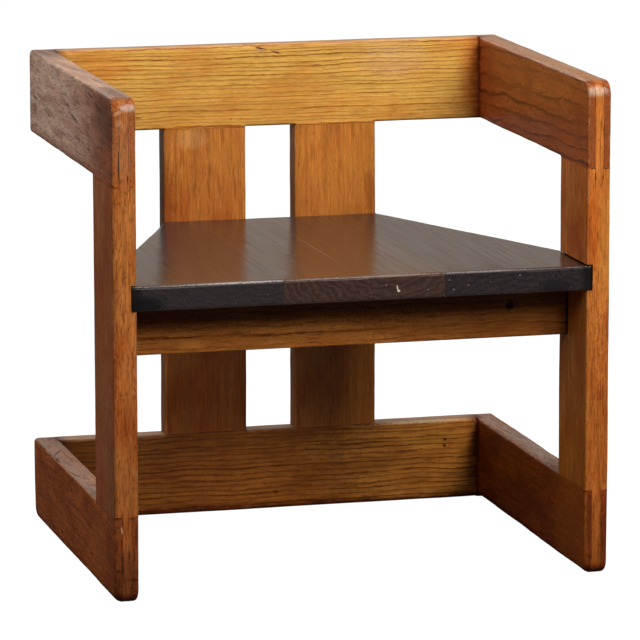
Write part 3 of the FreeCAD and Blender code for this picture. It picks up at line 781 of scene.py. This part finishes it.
seat_low, seat_high = box_of("seat_board_left")
middle_edge = box_of("seat_board_middle")[1][across]
slat_edge = box_of("right_back_slat")[1][across]
seat_top = seat_high[up]
shoulder_depth, kept_edge, rounded_corner = 92 * mm, 15 * mm, 2 * mm
shoulder = seat_low[deep] + shoulder_depth
stave_corners = {
    "left": [[rounded_corner, glued_corner], glued_pair],
    "middle": [glued_pair, glued_pair],
    "right": [glued_pair, [rounded_corner, rounded_corner]],
}
stave_looks = {
    "left": dict(dark="#1B1718", light="#302B2D", ring_middle=(-0.10, 0, 0.52), rings=0.12),
    "middle": dict(dark="#281A14", light="#3E2A23", ring_middle=(0.03, 0, 0.36), rings=0.36),
    "right": dict(dark="#181416", light="#2A2528", ring_middle=(0.16, 0, 0.20), rings=0.14),
}
scratch = "#8E7A70"
stave_marks = {
    "left": [
        ((-0.0818, -0.0148, seat_top), (3, 1.8, 3), scratch, 0.7),
        ((-0.218, front, 0.293), (24, 3, 11), "#060506", 0.85),
        # Painted highlight along the left stave's top front edge
        ((-0.13, front, 0.3118), (160, 3.0, 1.7), "#C8BEB6", 0.65),
    ],
    "middle": [
        # Painted highlight along the middle stave's top front edge
        ((0.0, front, 0.3118), (160, 3.0, 1.7), "#B09484", 0.50),
        ((-0.005, -0.032, seat_top), (0.7, 110, 3), scratch, 0.6, (0, 0, 1)),
        ((0.0106, -0.0473, seat_top), (3.0, 1.5, 3), scratch, 0.7),
        ((0.033, front, 0.2985), (0.9, 3, 4.0), "#D8C0A8", 0.8, (0, -8, 0)),
        ((0.0345, front, 0.296), (1.6, 3, 1.4), "#E0C8B0", 0.9),
        ((0.0216, front, 0.3024), (0.8, 3, 0.8), scratch, 0.8),
        ((0.064, front, 0.296), (0.9, 3, 0.8), scratch, 0.8),
    ],
    "right": [
        # Painted highlight along the right stave's top front edge
        ((0.13, front, 0.3118), (160, 3.0, 1.7), "#A89C98", 0.45),
        ((0.195, front, 0.293), (22, 3, 9), "#0A080A", 0.6),
        ((0.0856, front, 0.3043), (1.0, 3, 0.9), scratch, 0.8),
        ((0.09, front, 0.295), (1.0, 3, 0.8), scratch, 0.8),
        ((0.105, front, 0.2984), (1.2, 3, 0.7), scratch, 0.7),
        ((0.1573, front, 0.3059), (1.2, 3, 0.9), scratch, 0.8),
    ],
}
neighbours = {"left": ["middle"], "middle": ["left", "right"], "right": ["middle"]}
for name, sign in (("left", -1), ("middle", 0), ("right", 1)):
    stave_wood = stained_seat_wood(
        name, shift=(0.3 * sign, 0.1 * sign, 0.2 * sign), marks=stave_marks[name],
        **stave_looks[name])
    full = seat_high[across] - seat_low[across]

    def narrowed(points, sign=sign, full=full):
        """Keeps the strip beside the outer edge, and squeezes the rest to the board's width at that depth."""
        behind = np.clip((points[:, deep] - shoulder) / (seat_high[deep] - shoulder), 0, 1)
        width = full - behind * (full - (slat_edge - middle_edge))
        outer = sign * (middle_edge + full)
        inset = np.abs(outer - points[:, across])
        squeezed = kept_edge + (inset - kept_edge) * (width - kept_edge) / (full - kept_edge)
        inset = np.where(inset < kept_edge, inset, squeezed)
        moved = points.copy()
        moved[:, across] = sign * (middle_edge + width - inset)
        return moved

    make_board(
        "seat_board_" + name, stave_wood, up, deep, surface="varnished",
        corners=stave_corners[name], mates=[box_of("seat_board_" + other) for other in neighbours[name]],
        soiled=[box_of("left_front_post"), box_of("right_front_post")],
        bent=narrowed if sign else None, seed=60 + sign)


# Apron, cleat, dowels and screws
# The apron is a pine board on edge under the seat, and the cleat a pine bar on the slats. Beech dowels and
# steel screws hold them and stay out of sight. All keep their CAD shapes and get the real thing's finish, and
# the apron also a painted shadow of the seat along its top.
def plain_finish(name, colour, **sockets):
    """One even colour, for the small hidden fasteners."""
    material = bare_material(name)
    shader = add_node(material, "BsdfPrincipled", {"Base Color": linear(colour), **sockets})
    add_node(material, "OutputMaterial", {"Surface": (shader, "BSDF")})
    return material


apron_face = box_of("front_apron")[0][deep]
apron_wood = oiled_pine(
    "apron", across, pith=(0, 0.1, 0.05), ring=5, pale="#AC6A2E", late="#542606", flush="#90501E",
    sway=12.0, lines=0.8, dashes=0.4, pits=0.3, rough=0.36, **matt, marks=[
        ((0.15, apron_face, 0.255), (150, 60, 80), "#3A1A06", 0.35),
        # Painted shadow of the seat along the top of the apron's face
        ((left_face, apron_face, 0.287), (760, 60, 38), "#401C06", 0.62),
        ((0.1656, apron_face, 0.2652), (5.5, 4, 6.5), "#140803", 0.95),
        ((0.225, apron_face, 0.26), (1.6, 4, 60), "#140803", 0.85),
    ])
cleat_wood = oiled_pine(
    "rear_cleat", across, pith=(0, 0.3, 0.1), ring=4, pale="#B4762E", late="#6E3A10", flush="#965A20",
    sway=6.0, lines=0.6)
turned_beech = plain_finish("turned_beech", "#C9A070", Roughness=0.6)
plated_steel = plain_finish("zinc_plated_steel", "#B9BABB", Metallic=1.0, Roughness=0.3)
finishes = (
    (apron_wood, ["front_apron"]),
    (cleat_wood, ["rear_seat_cleat"]),
    (turned_beech, ["corner_dowels", "slat_dowels", "apron_dowels", "seat_edge_dowels"]),
    (plated_steel, ["slat_screws", "cleat_screws", "apron_screws"]),
)
for finish, nodes in finishes:
    for node in nodes:
        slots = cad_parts[node].data.materials
        slots.clear()
        slots.append(finish)


# Camera, floor and light
# The camera stands to the left of the chair's front, a little above it, with a long lens. The floor and the
# air are white paper, and six soft boxes hang around the chair: a strong one to the right of its front, and
# weak ones. Some are kept out of reflections, as crossed polarisers do, so that they don't glare on the wood.
stand = (-1.198, -4.5712, 1.1033)
yaw, pitch, roll = 0.2578, 0.1820, -0.0012
forward = np.array([math.sin(yaw) * math.cos(pitch), math.cos(yaw) * math.cos(pitch), -math.sin(pitch)])
sideways = np.array([math.cos(yaw), -math.sin(yaw), 0])
upright = np.cross(sideways, forward)
right = math.cos(roll) * sideways + math.sin(roll) * upright
top = np.cross(right, forward)
camera_data = bpy.data.cameras.new("camera")
camera_data.sensor_width = 36
camera_data.lens = 267.0
camera_data.clip_end = 200
camera = bpy.data.objects.new("camera", camera_data)
camera_frame = np.eye(4)
camera_frame[:3] = np.column_stack([right, top, -forward, stand])
camera.matrix_world = camera_frame.T
bpy.context.scene.collection.objects.link(camera)
bpy.context.scene.camera = camera

half_floor = 40
floor_corners = [(x * half_floor, y * half_floor, 0) for x, y in ((-1, -1), (1, -1), (1, 1), (-1, 1))]
floor_mesh = bpy.data.meshes.new("floor")
floor_mesh.from_pydata(floor_corners, [], [(0, 1, 2, 3)])
floor = bpy.data.objects.new("floor", floor_mesh)
bpy.context.scene.collection.objects.link(floor)

# The camera sees white floor and air. The chair sees a dim floor whose far end glows warm as a painted
# light, and a room lit warm at its far end.
white, warm = linear("#FFFFFF"), linear("#FFEDDC")
floor_paint = bare_material("white_paper_floor")
floor_ray = add_node(floor_paint, "LightPath")
floor_place = add_node(floor_paint, "TexCoord")
floor_axes = add_node(floor_paint, "SeparateXYZ", {"Vector": (floor_place, "Object")})
far_floor = add_node(floor_paint, "MapRange", {
    "Value": (floor_axes, "Y"), "From Min": 2.0, "From Max": 2.7, "To Min": 0.0, "To Max": 0.20})
paper = add_node(floor_paint, "BsdfDiffuse", {"Color": (0.09, 0.09, 0.09, 1)})
far_glow = add_node(floor_paint, "Emission", {"Color": warm, "Strength": (far_floor, "Result")})
unseen = add_node(floor_paint, "AddShader", {0: (paper, "BSDF"), 1: (far_glow, "Emission")})
glow = add_node(floor_paint, "Emission", {"Color": white, "Strength": 1.0})
seen = add_node(floor_paint, "AddShader", {0: (paper, "BSDF"), 1: (glow, "Emission")})
floor_look = add_node(floor_paint, "MixShader", {
    "Fac": (floor_ray, "Is Camera Ray"), 1: (unseen, "Shader"), 2: (seen, "Shader")})
add_node(floor_paint, "OutputMaterial", {"Surface": (floor_look, "Shader")})
floor_mesh.materials.append(floor_paint)

world = bpy.data.worlds.new("studio")
bpy.context.scene.world = world
world.use_nodes = True
world.node_tree.nodes.clear()
sky_ray = add_node(world, "LightPath")
sky_place = add_node(world, "TexCoord")
sky_axes = add_node(world, "SeparateXYZ", {"Vector": (sky_place, "Generated")})
far_wall = add_node(world, "MapRange", {
    "Value": (sky_axes, "Y"), "From Min": 0.0, "From Max": 0.8, "To Min": 0.03, "To Max": 0.47})
room = add_node(world, "Background", {"Color": warm, "Strength": (far_wall, "Result")})
air = add_node(world, "Background", {"Color": white, "Strength": 1.0})
studio = add_node(world, "MixShader", {
    "Fac": (sky_ray, "Is Camera Ray"), 1: (room, "Background"), 2: (air, "Background")})
add_node(world, "OutputWorld", {"Surface": (studio, "Shader")})

lamps = (
    ("front_softbox", (0.9, -2.2, 1.8), 1.2, 72, False),
    ("front_glint", (0.5, -2.4, 1.3), 0.4, 4.5, True),
    ("left_softbox", (-2.0, -1.5, 1.6), 1.2, 17, True),
    ("upper_left_softbox", (-1.3, 0.0, 2.0), 1.2, 9, False),
    ("back_softbox", (-0.3, 2.4, 1.8), 1.2, 6, True),
    ("top_softbox", (0.1, -0.2, 2.5), 1.5, 20, False),
)
aim = np.array([0, 0, 0.25])
for name, hung_at, size, power, shines in lamps:
    lamp = bpy.data.lights.new(name, "AREA")
    lamp.shape = "SQUARE"
    lamp.size = size
    lamp.energy = power
    softbox = bpy.data.objects.new(name, lamp)
    softbox.location = hung_at
    softbox.visible_glossy = shines
    softbox.rotation_euler = Vector(aim - hung_at).to_track_quat("-Z", "Y").to_euler()
    bpy.context.scene.collection.objects.link(softbox)

bpy.context.scene.view_settings.view_transform = "Standard"
